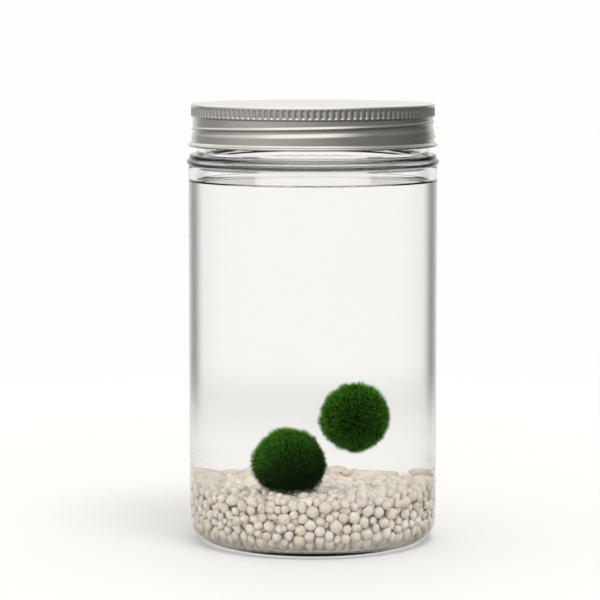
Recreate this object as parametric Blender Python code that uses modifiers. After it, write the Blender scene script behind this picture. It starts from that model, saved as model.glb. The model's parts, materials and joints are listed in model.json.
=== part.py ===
"""Two marimo moss balls in a screw-capped glass jar with gravel and water.

Metres, +Z up, with the jar standing on z = 0 and its axis along Z. The front of the jar faces -Y.
"""

import math

import bmesh
import bpy

# Clearance between neighbouring pieces
GAP = 0.0003

# Jar body: a straight glass cylinder with a rounded heel and a flat base
JAR_RADIUS = 0.0425
WALL = 0.0024
BASE = 0.0030
HEEL_RADIUS = 0.0075
INNER_HEEL_RADIUS = 0.0055
BORE_RADIUS = JAR_RADIUS - WALL

# Collar and ring under the cap
SHOULDER_Z = 0.1270
COLLAR_RADIUS = 0.0422
COLLAR_TOP = 0.1328
RING_REACH = 0.0009
RING_Z = 0.1302
RING_HALF_HEIGHT = 0.0010

# Neck and its thread
NECK_RADIUS = 0.0397
MOUTH_RADIUS = 0.0372
RIM_Z = 0.14785
PITCH = 0.00508
THREAD_Z = 0.14265
THREAD_DEPTH = 0.00125
THREAD_RADIUS = 0.00095
THREAD_TURNS = (-0.50, 0.50)

# Screw cap: one thin aluminium shell with a curled edge
CAP_TOP = 0.1500
SHEET = 0.00035
BAND_RADIUS = 0.0416
BAND_Z = 0.1465
SKIRT_RADIUS = 0.04165
CURL_RADIUS = 0.0008
CURL_OUT = 0.0429
CURL_Z = 0.1362
RIB_RADIUS = 0.00045
RIB_TIP_RADIUS = 0.0407
RIB_DROP = 0.0015
RIB_TURNS = (-0.42, 0.50)
LINER_RADIUS = 0.0404
LINER_THICKNESS = 0.0012

# Water and gravel
WATER_TOP = 0.1233
BED_TOP = 0.0207
BED_TILT = (0.018, 0.010)
BED_BUMP = 0.00015
BED_RINGS = (0.008, 0.016, 0.024, 0.032)

# Moss balls: half widths, heights and where they are
RESTING_CENTRE = (-0.0069, -0.0190, 0.0290)
RESTING_HALF_WIDTH = 0.01065
RESTING_CROWN = 0.0126
RESTING_KEEL = 0.0096
RESTING_CUT = 0.0079
FLOATING_CENTRE = (0.0128, -0.0240, 0.0459)
FLOATING_HALF_SIZES = (0.0107, 0.0107, 0.0114)
CHANNEL_RADIUS = 0.0006

# Facets round each turned shape
JAR_FACETS = 48
BED_FACETS = 40
BALL_FACETS = 22


def clear_scene():
    for obj in list(bpy.data.objects):
        bpy.data.objects.remove(obj, do_unlink=True)


def make_collection(name):
    collection = bpy.data.collections.new(name)
    bpy.context.scene.collection.children.link(collection)
    return collection


def make_material(name, colour, roughness, metallic=0.0, transmission=0.0):
    material = bpy.data.materials.new(name)
    material.use_nodes = True
    shader = material.node_tree.nodes["Principled BSDF"]
    shader.inputs["Base Color"].default_value = (*colour, 1.0)
    shader.inputs["Roughness"].default_value = roughness
    shader.inputs["Metallic"].default_value = metallic
    shader.inputs["Transmission Weight"].default_value = transmission
    return material


def arc(centre, size, start, end, steps):
    """Points (radius, z) on an ellipse from start to end degrees: 0 is outwards and 90 is up."""
    angles = [math.radians(start + (end - start) * i / steps) for i in range(steps + 1)]
    return [(centre[0] + size[0] * math.cos(a), centre[1] + size[1] * math.sin(a)) for a in angles]


def turned(name, profile, facets, collection, material=None):
    """A profile of (radius, z) points, turned about Z by a Screw modifier."""
    mesh = bpy.data.meshes.new(name)
    edges = [(i, i + 1) for i in range(len(profile) - 1)]
    mesh.from_pydata([(radius, 0.0, z) for radius, z in profile], edges, [])
    obj = bpy.data.objects.new(name, mesh)
    collection.objects.link(obj)
    screw = obj.modifiers.new("turn", "SCREW")
    screw.axis = "Z"
    screw.steps = facets
    screw.render_steps = facets
    screw.use_merge_vertices = True
    screw.merge_threshold = 0.00001
    screw.use_smooth_shade = True
    if material:
        mesh.materials.append(material)
    return obj


def baked(obj):
    """Replaces an object by a plain mesh of its evaluated shape, with its loose caps welded."""
    bpy.context.view_layer.update()
    graph = bpy.context.evaluated_depsgraph_get()
    mesh = bpy.data.meshes.new_from_object(obj.evaluated_get(graph))
    form = bmesh.new()
    form.from_mesh(mesh)
    bmesh.ops.remove_doubles(form, verts=form.verts, dist=0.000001)
    bmesh.ops.recalc_face_normals(form, faces=form.faces)
    form.to_mesh(mesh)
    form.free()
    name, matrix, collection = obj.name, obj.matrix_world.copy(), obj.users_collection[0]
    bpy.data.objects.remove(obj, do_unlink=True)
    mesh.name = name
    plain = bpy.data.objects.new(name, mesh)
    plain.matrix_world = matrix
    collection.objects.link(plain)
    return plain


def as_helper(obj):
    obj.hide_render = True
    obj.display_type = "WIRE"
    return obj


def add_boolean(obj, other, operation):
    modifier = obj.modifiers.new(f"{operation.lower()} {other.name}", "BOOLEAN")
    modifier.operation = operation
    modifier.solver = "EXACT"
    modifier.object = other


def helix(name, turns, front_z, tip_radius, root_radius, thickness, collection):
    """A round thread that rises anticlockwise and fades into its wall at both ends.

    front_z is its height at the front of the jar, and it runs from turns[0] to turns[1] round from there.
    Its centre line goes from root_radius at the ends to tip_radius along its full stretch.
    """
    fade_turns = 0.08
    count = round((turns[1] - turns[0]) * JAR_FACETS)
    curve = bpy.data.curves.new(name, "CURVE")
    curve.dimensions = "3D"
    curve.bevel_depth = thickness
    curve.bevel_resolution = 1
    curve.use_fill_caps = True
    spline = curve.splines.new("POLY")
    spline.points.add(count)
    for i, point in enumerate(spline.points):
        turn = turns[0] + (turns[1] - turns[0]) * i / count
        from_end = min(turn - turns[0], turns[1] - turn)
        fade = min(1.0, from_end / fade_turns)
        radius = root_radius + (tip_radius - root_radius) * fade
        angle = math.radians(-90.0) + math.tau * turn
        z = front_z + PITCH * turn
        point.co = (radius * math.cos(angle), radius * math.sin(angle), z, 1.0)
        point.radius = 0.4 + 0.6 * fade
    obj = bpy.data.objects.new(name, curve)
    collection.objects.link(obj)
    return as_helper(baked(obj))


def make_jar(parts, helpers, glass):
    bore_heel = (BORE_RADIUS - INNER_HEEL_RADIUS, BASE + INNER_HEEL_RADIUS)
    heel = (JAR_RADIUS - HEEL_RADIUS, HEEL_RADIUS)
    rim = (NECK_RADIUS + MOUTH_RADIUS) / 2
    rim_half = (NECK_RADIUS - MOUTH_RADIUS) / 2
    collar_round = 0.0006
    profile = [(0.0, BASE)]
    profile += arc(bore_heel, (INNER_HEEL_RADIUS, INNER_HEEL_RADIUS), -90, 0, 4)
    profile += arc((MOUTH_RADIUS, SHOULDER_Z), (BORE_RADIUS - MOUTH_RADIUS, 0.004), 0, 90, 3)
    profile += arc((rim, RIM_Z - rim_half), (rim_half, rim_half), 180, 0, 4)
    profile += [(NECK_RADIUS, COLLAR_TOP + 0.0008), (NECK_RADIUS + 0.0008, COLLAR_TOP)]
    profile += arc((COLLAR_RADIUS - collar_round, COLLAR_TOP - collar_round),
                   (collar_round, collar_round), 90, 0, 2)
    profile += arc((COLLAR_RADIUS, RING_Z), (RING_REACH, RING_HALF_HEIGHT), 90, -90, 4)
    profile += [(JAR_RADIUS, RING_Z - RING_HALF_HEIGHT - 0.0008)]
    profile += arc(heel, (HEEL_RADIUS, HEEL_RADIUS), 0, -90, 4)
    profile += [(0.0, 0.0)]
    jar = turned("jar", profile, JAR_FACETS, parts, glass)
    thread = helix("jar_thread", THREAD_TURNS, THREAD_Z, NECK_RADIUS + THREAD_DEPTH - THREAD_RADIUS,
                   NECK_RADIUS - 0.0002, THREAD_RADIUS, helpers)
    add_boolean(jar, thread, "UNION")
    return jar


def make_cap(parts, helpers, aluminium):
    corner = 0.0009
    inner_band = BAND_RADIUS - SHEET
    inner_skirt = SKIRT_RADIUS - SHEET
    profile = [(0.0, CAP_TOP)]
    profile += arc((BAND_RADIUS - corner, CAP_TOP - corner), (corner, corner), 90, 0, 3)
    profile += [(BAND_RADIUS, BAND_Z), (SKIRT_RADIUS, BAND_Z - 0.0003)]
    profile += arc((CURL_OUT - CURL_RADIUS, CURL_Z), (CURL_RADIUS, CURL_RADIUS), 120, -90, 5)
    profile += [(inner_skirt, CURL_Z - 0.0003), (inner_skirt, BAND_Z - 0.0003), (inner_band, BAND_Z)]
    profile += arc((inner_band - corner, CAP_TOP - SHEET - corner), (corner, corner), 0, 90, 2)
    profile += [(0.0, CAP_TOP - SHEET)]
    cap = turned("cap", profile, JAR_FACETS, parts, aluminium)
    rib = helix("cap_thread", RIB_TURNS, THREAD_Z - RIB_DROP, RIB_TIP_RADIUS + RIB_RADIUS,
                inner_skirt, RIB_RADIUS, helpers)
    add_boolean(cap, rib, "UNION")
    return cap


def make_liner(parts, foam):
    top = CAP_TOP - SHEET - GAP
    bottom = top - LINER_THICKNESS
    profile = [(0.0, top), (LINER_RADIUS, top), (LINER_RADIUS, bottom), (0.0, bottom)]
    return turned("cap_liner", profile, JAR_FACETS, parts, foam)


def bed_height(x, y):
    """Top of the gravel: level but for a slight slope up to the back right and a few low bumps."""
    bumps = math.sin(x * 260.0 + 0.6) * math.cos(y * 230.0) * BED_BUMP
    return BED_TOP + BED_TILT[0] * x + BED_TILT[1] * y + bumps


def follow_bed(obj, lift):
    """Moves the vertices that lie at BED_TOP onto the gravel's surface, or lift above it."""
    for vertex in obj.data.vertices:
        if abs(vertex.co.z - BED_TOP) < 0.00001:
            vertex.co.z = bed_height(vertex.co.x, vertex.co.y) + lift


def make_gravel(parts, stone):
    radius = BORE_RADIUS - GAP
    heel_radius = INNER_HEEL_RADIUS - GAP
    profile = [(0.0, BED_TOP)]
    profile += [(ring, BED_TOP) for ring in BED_RINGS]
    profile += [(radius, BED_TOP)]
    profile += arc((radius - heel_radius, BASE + INNER_HEEL_RADIUS), (heel_radius, heel_radius), 0, -90, 3)
    profile += [(0.0, BASE + GAP)]
    gravel = baked(turned("gravel", profile, BED_FACETS, parts, stone))
    follow_bed(gravel, 0.0)
    return gravel


def resting_profile(grow, bottom):
    """Half outline of the resting ball about its own centre: a domed crown over a keel that is cut flat."""
    half = RESTING_HALF_WIDTH + grow
    crown = arc((0.0, 0.0), (half, RESTING_CROWN + grow), 90, 0, 7)
    cut_angle = -math.degrees(math.asin(RESTING_CUT / RESTING_KEEL))
    keel = arc((0.0, 0.0), (half, RESTING_KEEL + grow), 0, cut_angle, 4)[1:]
    foot = [] if bottom > keel[-1][1] - 0.0005 else [(keel[-1][0], bottom)]
    return [(0.0, crown[0][1])] + crown[1:] + keel + foot + [(0.0, (keel + foot)[-1][1])]


def make_resting_ball(name, collection, grow=0.0, bottom=0.0, moss=None):
    ball = turned(name, resting_profile(grow, bottom), BALL_FACETS, collection, moss)
    ball.location = RESTING_CENTRE
    return ball


def make_floating_ball(name, collection, grow=0.0, moss=None):
    mesh = bpy.data.meshes.new(name)
    form = bmesh.new()
    bmesh.ops.create_uvsphere(form, u_segments=BALL_FACETS, v_segments=14, radius=1.0)
    sizes = [half + grow for half in FLOATING_HALF_SIZES]
    bmesh.ops.scale(form, vec=sizes, verts=form.verts)
    form.to_mesh(mesh)
    form.free()
    mesh.shade_smooth()
    ball = bpy.data.objects.new(name, mesh)
    ball.location = FLOATING_CENTRE
    collection.objects.link(ball)
    if moss:
        mesh.materials.append(moss)
    return ball


def make_channel(helpers):
    """A fine bore from the floating ball's hollow down to the gravel, so that the hollow is not sealed."""
    low, high = BED_TOP - 0.003, FLOATING_CENTRE[2] - FLOATING_HALF_SIZES[2] + 0.002
    profile = [(0.0, high), (CHANNEL_RADIUS, high), (CHANNEL_RADIUS, low), (0.0, low)]
    channel = turned("water_channel", profile, 8, helpers)
    channel.location = (FLOATING_CENTRE[0], FLOATING_CENTRE[1], 0.0)
    return as_helper(channel)


def make_water(parts, helpers, liquid):
    radius = BORE_RADIUS - GAP
    profile = [(0.0, WATER_TOP), (radius, WATER_TOP), (radius, BED_TOP)]
    profile += [(ring, BED_TOP) for ring in reversed(BED_RINGS)]
    profile += [(0.0, BED_TOP)]
    water = baked(turned("water", profile, BED_FACETS, parts, liquid))
    follow_bed(water, GAP)
    hollow_bottom = BED_TOP - 0.002 - RESTING_CENTRE[2]
    resting = make_resting_ball("resting_hollow", helpers, grow=GAP + 0.00005, bottom=hollow_bottom)
    floating = make_floating_ball("floating_hollow", helpers, grow=GAP + 0.00005)
    for cutter in (as_helper(resting), as_helper(floating), make_channel(helpers)):
        add_boolean(water, cutter, "DIFFERENCE")
    return water


def main():
    clear_scene()
    parts = make_collection("marimo_jar")
    helpers = make_collection("helpers")
    helpers.hide_render = True
    glass = make_material("clear_glass", (0.95, 0.98, 0.97), 0.02, transmission=1.0)
    aluminium = make_material("satin_aluminium", (0.66, 0.65, 0.63), 0.32, metallic=1.0)
    foam = make_material("white_liner", (0.85, 0.85, 0.83), 0.7)
    liquid = make_material("clear_water", (0.95, 0.98, 0.98), 0.0, transmission=1.0)
    stone = make_material("cream_gravel", (0.78, 0.74, 0.68), 0.75)
    moss = make_material("green_moss", (0.03, 0.10, 0.02), 0.9)
    make_jar(parts, helpers, glass)
    make_cap(parts, helpers, aluminium)
    make_liner(parts, foam)
    make_gravel(parts, stone)
    make_water(parts, helpers, liquid)
    make_resting_ball("resting_moss_ball", parts, moss=moss)
    make_floating_ball("floating_moss_ball", parts, moss=moss)


if __name__ == "__main__":
    main()
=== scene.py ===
"""Two marimo moss balls in a screw-capped glass jar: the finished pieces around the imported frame.

Metres, +Z up, with the jar standing on z = 0 and its axis along Z. The front of the jar faces -Y.
"""

import json
import math

import bpy
import numpy as np
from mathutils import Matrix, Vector

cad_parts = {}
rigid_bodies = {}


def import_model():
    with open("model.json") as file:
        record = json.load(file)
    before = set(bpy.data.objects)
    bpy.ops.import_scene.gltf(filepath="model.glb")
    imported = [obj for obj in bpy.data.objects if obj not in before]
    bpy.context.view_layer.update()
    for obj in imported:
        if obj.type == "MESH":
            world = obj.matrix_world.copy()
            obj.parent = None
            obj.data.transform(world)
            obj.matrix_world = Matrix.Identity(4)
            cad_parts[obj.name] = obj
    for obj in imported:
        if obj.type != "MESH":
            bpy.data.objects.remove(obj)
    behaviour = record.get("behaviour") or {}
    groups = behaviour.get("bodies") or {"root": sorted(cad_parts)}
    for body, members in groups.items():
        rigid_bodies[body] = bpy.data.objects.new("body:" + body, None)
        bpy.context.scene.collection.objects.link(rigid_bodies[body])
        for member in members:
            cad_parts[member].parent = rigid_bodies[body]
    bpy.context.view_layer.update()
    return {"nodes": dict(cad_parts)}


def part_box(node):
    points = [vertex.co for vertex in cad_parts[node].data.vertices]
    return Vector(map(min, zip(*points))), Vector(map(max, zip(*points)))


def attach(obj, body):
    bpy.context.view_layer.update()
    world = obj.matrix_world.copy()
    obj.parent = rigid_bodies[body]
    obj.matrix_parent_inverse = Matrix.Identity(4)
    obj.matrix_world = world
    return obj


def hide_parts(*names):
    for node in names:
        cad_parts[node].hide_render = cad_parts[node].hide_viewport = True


for startup_object in list(bpy.data.objects):
    bpy.data.objects.remove(startup_object, do_unlink=True)

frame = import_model()

bl_info = {
    "name": "Marimo moss ball jar",
    "version": (1, 0, 0),
    "blender": (4, 5, 0),
    "location": "View3D > Sidebar > Marimo jar",
    "description": "Builds a screw-capped glass jar with water, gravel and two moss balls round its CAD",
    "category": "Object",
}

MM = 0.001
TAU = math.tau
FRONT = -math.pi / 2  # the angle of the jar's front
WELD = 0.0000005  # a length that counts as nothing

# Sizes that the frame gives
CAD_LOW = {name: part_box(name)[0] for name in frame["nodes"]}
CAD_HIGH = {name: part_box(name)[1] for name in frame["nodes"]}
RESTING_LOW, RESTING_HIGH = CAD_LOW["resting_moss_ball"], CAD_HIGH["resting_moss_ball"]
FLOATING_LOW, FLOATING_HIGH = CAD_LOW["floating_moss_ball"], CAD_HIGH["floating_moss_ball"]
CAP_TOP = CAD_HIGH["cap"].z

# The thread that the cap and the neck share
PITCH = 5.08 * MM
THREAD_Z = 142.65 * MM
NECK_THREAD_DEPTH = 1.25 * MM
NECK_THREAD_HALF = 1.05 * MM
NECK_THREAD_TURNS = (-0.50, 0.50)
THREAD_FADE = 0.08

# The rolled bead at the foot of the cap
CURL_RADIUS = 0.42 * MM
CURL_OUT = 42.75 * MM
CURL_Z = 135.95 * MM

# The glass, from the rim down
RIM_Z = 147.85 * MM
NECK_FILLET = 0.8 * MM
COLLAR_TOP = 132.8 * MM
COLLAR_RADIUS = 42.2 * MM
COLLAR_ROUND = 0.6 * MM
RING_Z = 130.2 * MM
RING_SIZE = (0.9 * MM, 1.0 * MM)
SHOULDER_Z = 128.6 * MM
SHOULDER_RISE = 4.4 * MM
STRAIGHT_ROWS = (50.0 * MM, 90.0 * MM)  # extra rings on the straight side
OUTER_HEEL = 7.5 * MM
INNER_HEEL = 5.5 * MM
FLAT_RADIUS = 12.0 * MM  # an extra ring on the flat base


# Property groups: the sizes and colours that a user would change


class MARIMO_PG_jar(bpy.types.PropertyGroup):
    radius: bpy.props.FloatProperty(
        name="Radius", description="Outside radius of the glass body", default=42.5 * MM, unit="LENGTH")
    wall: bpy.props.FloatProperty(
        name="Wall", description="Thickness of the glass wall", default=2.4 * MM, unit="LENGTH")
    base: bpy.props.FloatProperty(
        name="Base", description="Thickness of the glass under the gravel", default=3.0 * MM, unit="LENGTH")
    neck_radius: bpy.props.FloatProperty(
        name="Neck radius", description="Outside radius of the neck under the cap", default=39.7 * MM,
        unit="LENGTH")
    mouth_radius: bpy.props.FloatProperty(
        name="Mouth radius", description="Inside radius of the mouth", default=37.2 * MM, unit="LENGTH")
    steps: bpy.props.IntProperty(name="Steps", description="Faces round the jar", default=256, min=48)
    tint: bpy.props.FloatVectorProperty(
        name="Glass tint", description="Colour of the clear glass", default=(0.977, 0.974, 0.972),
        subtype="COLOR", min=0.0, max=1.0)


class MARIMO_PG_water(bpy.types.PropertyGroup):
    top: bpy.props.FloatProperty(
        name="Water top", description="Height of the water", default=CAD_HIGH["water"].z, unit="LENGTH")
    meniscus: bpy.props.FloatProperty(
        name="Meniscus", description="How far the water climbs the glass", default=0.95 * MM, unit="LENGTH")
    tint: bpy.props.FloatVectorProperty(
        name="Water tint", description="Colour of the clear water", default=(0.987, 0.986, 0.982),
        subtype="COLOR", min=0.0, max=1.0)


class MARIMO_PG_cap(bpy.types.PropertyGroup):
    radius: bpy.props.FloatProperty(
        name="Band radius", description="Outside radius of the fluted band", default=41.6 * MM,
        unit="LENGTH")
    sheet: bpy.props.FloatProperty(
        name="Sheet", description="Thickness of the aluminium", default=0.35 * MM, unit="LENGTH")
    flutes: bpy.props.IntProperty(name="Flutes", description="Flutes round the band", default=124, min=12)
    flute_depth: bpy.props.FloatProperty(
        name="Flute depth", description="How deep each flute is pressed", default=0.42 * MM, unit="LENGTH")
    flute_half_width: bpy.props.FloatProperty(
        name="Flute half width", description="Half the width of a flute", default=0.78 * MM, unit="LENGTH")
    colour: bpy.props.FloatVectorProperty(
        name="Aluminium", description="Colour of the satin aluminium", default=(0.70, 0.675, 0.635),
        subtype="COLOR", min=0.0, max=1.0)
    liner_colour: bpy.props.FloatVectorProperty(
        name="Liner", description="Colour of the foam liner", default=(0.86, 0.86, 0.83),
        subtype="COLOR", min=0.0, max=1.0)


class MARIMO_PG_gravel(bpy.types.PropertyGroup):
    grains: bpy.props.IntProperty(name="Grains", description="Number of grains", default=2600, min=50)
    small: bpy.props.FloatProperty(
        name="Smallest grain", description="Smallest grain radius", default=1.15 * MM, unit="LENGTH")
    large: bpy.props.FloatProperty(
        name="Largest grain", description="Largest grain radius", default=2.15 * MM, unit="LENGTH")
    light: bpy.props.FloatVectorProperty(
        name="Light grains", description="Colour of the lightest grains", default=(0.97, 0.91, 0.825),
        subtype="COLOR", min=0.0, max=1.0)
    dark: bpy.props.FloatVectorProperty(
        name="Dark grains", description="Colour of the darkest grains", default=(0.89, 0.81, 0.70),
        subtype="COLOR", min=0.0, max=1.0)
    seed: bpy.props.IntProperty(name="Seed", description="Seed of the packing", default=11)


class MARIMO_PG_moss(bpy.types.PropertyGroup):
    fibre_length: bpy.props.FloatProperty(
        name="Fibre length", description="Length of a mean fibre", default=2.4 * MM, unit="LENGTH")
    fibre_radius: bpy.props.FloatProperty(
        name="Fibre radius", description="Radius of a fibre at its root", default=0.072 * MM, unit="LENGTH")
    fibres: bpy.props.IntProperty(name="Fibres", description="Fibres on each ball", default=13600, min=100)
    root: bpy.props.FloatVectorProperty(
        name="Root", description="Colour of the fibres at the root", default=(0.002, 0.014, 0.001),
        subtype="COLOR", min=0.0, max=1.0)
    tip: bpy.props.FloatVectorProperty(
        name="Tip", description="Colour of the fibres at the tip", default=(0.17, 0.56, 0.04),
        subtype="COLOR", min=0.0, max=1.0)
    seed: bpy.props.IntProperty(name="Seed", description="Seed of the fibres", default=5)


class MARIMO_PG_stage(bpy.types.PropertyGroup):
    camera_at: bpy.props.FloatVectorProperty(
        name="Camera", description="Where the camera stands", default=(0.0, -0.930, 0.1791),
        subtype="TRANSLATION")
    camera_aim: bpy.props.FloatVectorProperty(
        name="Aim", description="Point in the middle of the view", default=(-0.0044, 0.0, 0.0825),
        subtype="TRANSLATION")
    lens: bpy.props.FloatProperty(name="Lens", description="Focal length in millimetres", default=163.24)
    floor_colour: bpy.props.FloatVectorProperty(
        name="Floor", description="Colour of the floor", default=(0.177, 0.175, 0.172),
        subtype="COLOR", min=0.0, max=1.0)
    softbox: bpy.props.FloatProperty(
        name="Softbox", description="Power of the high soft lamp in watts", default=34.0, min=0.0)
    left_lamp: bpy.props.FloatProperty(
        name="Left lamp", description="Light that falls on matte surfaces from the left", default=3.4)
    right_lamp: bpy.props.FloatProperty(
        name="Right lamp", description="Light that falls on matte surfaces from the right", default=1.7)
    top_lamp: bpy.props.FloatProperty(
        name="Top lamp", description="Light that falls on matte surfaces from above", default=3.4)
    left_level: bpy.props.FloatProperty(
        name="Left gloss", description="Brightness reflected from the left of the room", default=0.50)
    right_level: bpy.props.FloatProperty(
        name="Right gloss", description="Brightness reflected from the right of the room", default=0.17)
    top_level: bpy.props.FloatProperty(
        name="Top gloss", description="Brightness reflected from above", default=1.35)
    side_level: bpy.props.FloatProperty(
        name="Side flags", description="Brightness of the upright dark flags seen through the glass",
        default=0.20)


# Nodes


class Wire:
    """A node's output that takes Python arithmetic: each sign adds one Math node."""

    def __init__(self, bench, node, socket):
        self.bench, self.made, self.socket = bench, node, socket

    def __getitem__(self, name):
        """Another output of the same node."""
        return Wire(self.bench, self.made, find_socket(self.made.outputs, name))

    def math(self, operation, *values):
        return self.bench.node("ShaderNodeMath", {"operation": operation}, dict(enumerate(values)))

    def __add__(self, other):
        return self.math("ADD", self, other)

    def __sub__(self, other):
        return self.math("SUBTRACT", self, other)

    def __rsub__(self, other):
        return self.math("SUBTRACT", other, self)

    def __mul__(self, other):
        return self.math("MULTIPLY", self, other)

    def __truediv__(self, other):
        return self.math("DIVIDE", self, other)

    def __rtruediv__(self, other):
        return self.math("DIVIDE", other, self)

    def __pow__(self, other):
        return self.math("POWER", self, other)

    def __neg__(self):
        return self.math("MULTIPLY", self, -1.0)

    __radd__ = __add__
    __rmul__ = __mul__

    def sine(self):
        return self.math("SINE", self)

    def cosine(self):
        return self.math("COSINE", self)

    def root(self):
        return self.math("SQRT", self)

    def angle_over(self, x):
        """The angle in radians whose tangent is this over x."""
        return self.math("ARCTAN2", self, x)

    def at_least(self, low):
        return self.math("MAXIMUM", self, low)

    def at_most(self, high):
        return self.math("MINIMUM", self, high)

    def size(self):
        return self.math("ABSOLUTE", self)

    def fraction(self):
        return self.math("FRACT", self)

    def ease(self, start, end, low=0.0, high=1.0):
        """low up to start, high from end, and a smooth step between them."""
        return self.bench.node(
            "ShaderNodeMapRange", {"interpolation_type": "SMOOTHSTEP"},
            {"Value": self, "From Min": start, "From Max": end, "To Min": low, "To Max": high})


def find_socket(sockets, name):
    if isinstance(name, int):
        return sockets[name]
    return next(socket for socket in sockets if socket.name == name and socket.enabled)


class Bench:
    """Makes the nodes of one tree."""

    def __init__(self, tree):
        self.tree = tree
        tree.nodes.clear()

    def node(self, kind, settings=None, sockets=None):
        """One node: its settings are set first, then the values or links of its sockets."""
        made = self.tree.nodes.new(kind)
        for name, value in (settings or {}).items():
            setattr(made, name, value)
        for name, value in (sockets or {}).items():
            socket = find_socket(made.inputs, name)
            if isinstance(value, Wire):
                self.tree.links.new(value.socket, socket)
            elif isinstance(value, bpy.types.Material):
                socket.default_value = value
            elif socket.type == "RGBA" and len(value) == 3:
                socket.default_value = (*value, 1.0)
            else:
                socket.default_value = value
        first = next((socket for socket in made.outputs if socket.enabled), None)
        return Wire(self, made, first)

    def mix(self, factor, first, second):
        """A colour between first, at factor 0, and second, at factor 1."""
        return self.node("ShaderNodeMix", {"data_type": "RGBA"},
                         {"Factor": factor, "A": first, "B": second})

    def noise(self, vector, scale, detail=2.0, roughness=0.5):
        return self.node("ShaderNodeTexNoise", None,
                         {"Vector": vector, "Scale": scale, "Detail": detail, "Roughness": roughness})

    def attribute(self, name):
        return self.node("ShaderNodeAttribute", {"attribute_name": name})["Fac"]

    def combine(self, x, y, z):
        return self.node("ShaderNodeCombineXYZ", None, {"X": x, "Y": y, "Z": z})

    def split(self, vector):
        parts = self.node("ShaderNodeSeparateXYZ", None, {"Vector": vector})
        return parts["X"], parts["Y"], parts["Z"]

    def object_place(self):
        return self.node("ShaderNodeTexCoord")["Object"]

    def bump(self, height, distance, strength):
        return self.node("ShaderNodeBump", None,
                         {"Height": height, "Distance": distance, "Strength": strength})


def new_material(name):
    """A material with an empty tree, and the bench that fills it."""
    material = bpy.data.materials.new(name)
    material.use_nodes = True
    return material, Bench(material.node_tree)


def close_material(bench, shader):
    bench.node("ShaderNodeOutputMaterial", None, {"Surface": shader})


def principled(bench, **sockets):
    """The Principled shader with sockets named as Base_Color for Base Color."""
    return bench.node("ShaderNodeBsdfPrincipled", None,
                      {name.replace("_", " "): value for name, value in sockets.items()})


def round_the_axis(bench):
    """Distance from the jar's axis, turns round it, and height, from Object coordinates."""
    x, y, z = bench.split(bench.object_place())
    return (x * x + y * y).root(), y.angle_over(x) / TAU, z


def darker(colour, share):
    """The colour with this share of its brightness."""
    return tuple(part * share for part in colour)


# Materials

# Specular tints: how much of its mirror image a clear surface keeps when it is looked at squarely
FAINT_SHINE, NO_SHINE = (0.12, 0.12, 0.12, 1.0), (0.0, 0.0, 0.0, 1.0)


def clear_glass(name, tint, shine):
    """Clear glass with a faint slow waviness and a few smudges."""
    material, bench = new_material(name)
    _, turns, z = round_the_axis(bench)
    place = bench.object_place()
    slow = bench.noise(place, 38.0, 1.0)
    stretched = bench.noise(bench.combine(turns * 9.0, z * 12.0, 0.0), 1.0, 2.0)
    wave = slow * 0.6 + stretched * 0.4
    smudge = bench.noise(place, 90.0, 3.0).ease(0.55, 0.8, 0.0, 0.012)
    close_material(bench, principled(
        bench, Base_Color=tint, Transmission_Weight=1.0, IOR=1.5, Roughness=smudge, Specular_Tint=shine,
        Normal=bench.bump(wave, 0.03 * MM, 0.6)))
    return material


def clear_water(tint):
    """Still water with a faint ripple."""
    material, bench = new_material("clear_water")
    ripple = bench.noise(bench.object_place(), 60.0, 1.0)
    close_material(bench, principled(
        bench, Base_Color=tint, Transmission_Weight=1.0, IOR=1.333, Roughness=0.0, Specular_Tint=NO_SHINE,
        Normal=bench.bump(ripple, 0.01 * MM, 0.4)))
    return material


def satin_aluminium(colour):
    """Lathe-brushed aluminium: fine lines run round the axis, on the top as well as down the side."""
    material, bench = new_material("satin_aluminium")
    radius, turns, z = round_the_axis(bench)
    along = (turns * TAU).sine() * 0.8
    across = bench.combine(radius * 2600.0, along, z * 2600.0)
    fine = bench.noise(across, 1.0, 3.0, 0.6)
    broad = bench.noise(bench.combine(radius * 500.0, along * 0.5, z * 500.0), 1.0, 2.0)
    cloud = bench.noise(bench.object_place(), 120.0, 3.0)
    shade = bench.mix(fine * 0.5 + cloud * 0.5, darker(colour, 0.93), colour)
    roughness = 0.17 + fine * 0.08 + cloud * 0.05
    close_material(bench, principled(
        bench, Base_Color=shade, Metallic=1.0, Roughness=roughness,
        Normal=bench.bump(fine * 0.6 + broad * 0.4, 0.012 * MM, 0.5)))
    return material


def white_liner(colour):
    """Closed-cell foam with a faint skin."""
    material, bench = new_material("white_liner")
    place = bench.object_place()
    cells = bench.node("ShaderNodeTexVoronoi", {"feature": "DISTANCE_TO_EDGE"},
                       {"Vector": place, "Scale": 2400.0})
    worn = bench.noise(place, 180.0, 3.0)
    shade = bench.mix(cells.ease(0.0, 0.25) * 0.6 + worn * 0.4, darker(colour, 0.9), colour)
    close_material(bench, principled(
        bench, Base_Color=shade, Roughness=0.55 + worn * 0.2,
        Normal=bench.bump(cells, 0.06 * MM, 0.5)))
    return material


def cream_gravel(light, dark):
    """Matte rounded grit: each grain has its own tint, with fine speckles and pits."""
    material, bench = new_material("cream_gravel")
    place = bench.object_place()
    tint = bench.attribute("grain_tint")
    mottle = bench.noise(place, 650.0, 4.0, 0.6)
    speck = bench.noise(place, 3200.0, 2.0).ease(0.62, 0.74)
    body = bench.mix((tint * 0.75 + mottle * 0.25).ease(0.1, 0.9), dark, light)
    specked = bench.mix(speck * 0.35, body, darker(dark, 0.62))
    pits = bench.noise(place, 1500.0, 3.0, 0.6)
    close_material(bench, principled(
        bench, Base_Color=specked, Roughness=0.62 + mottle * 0.25, IOR=1.45, Specular_IOR_Level=0.12,
        Normal=bench.bump(pits * 0.6 + mottle * 0.4, 0.10 * MM, 0.7)))
    return material


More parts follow.
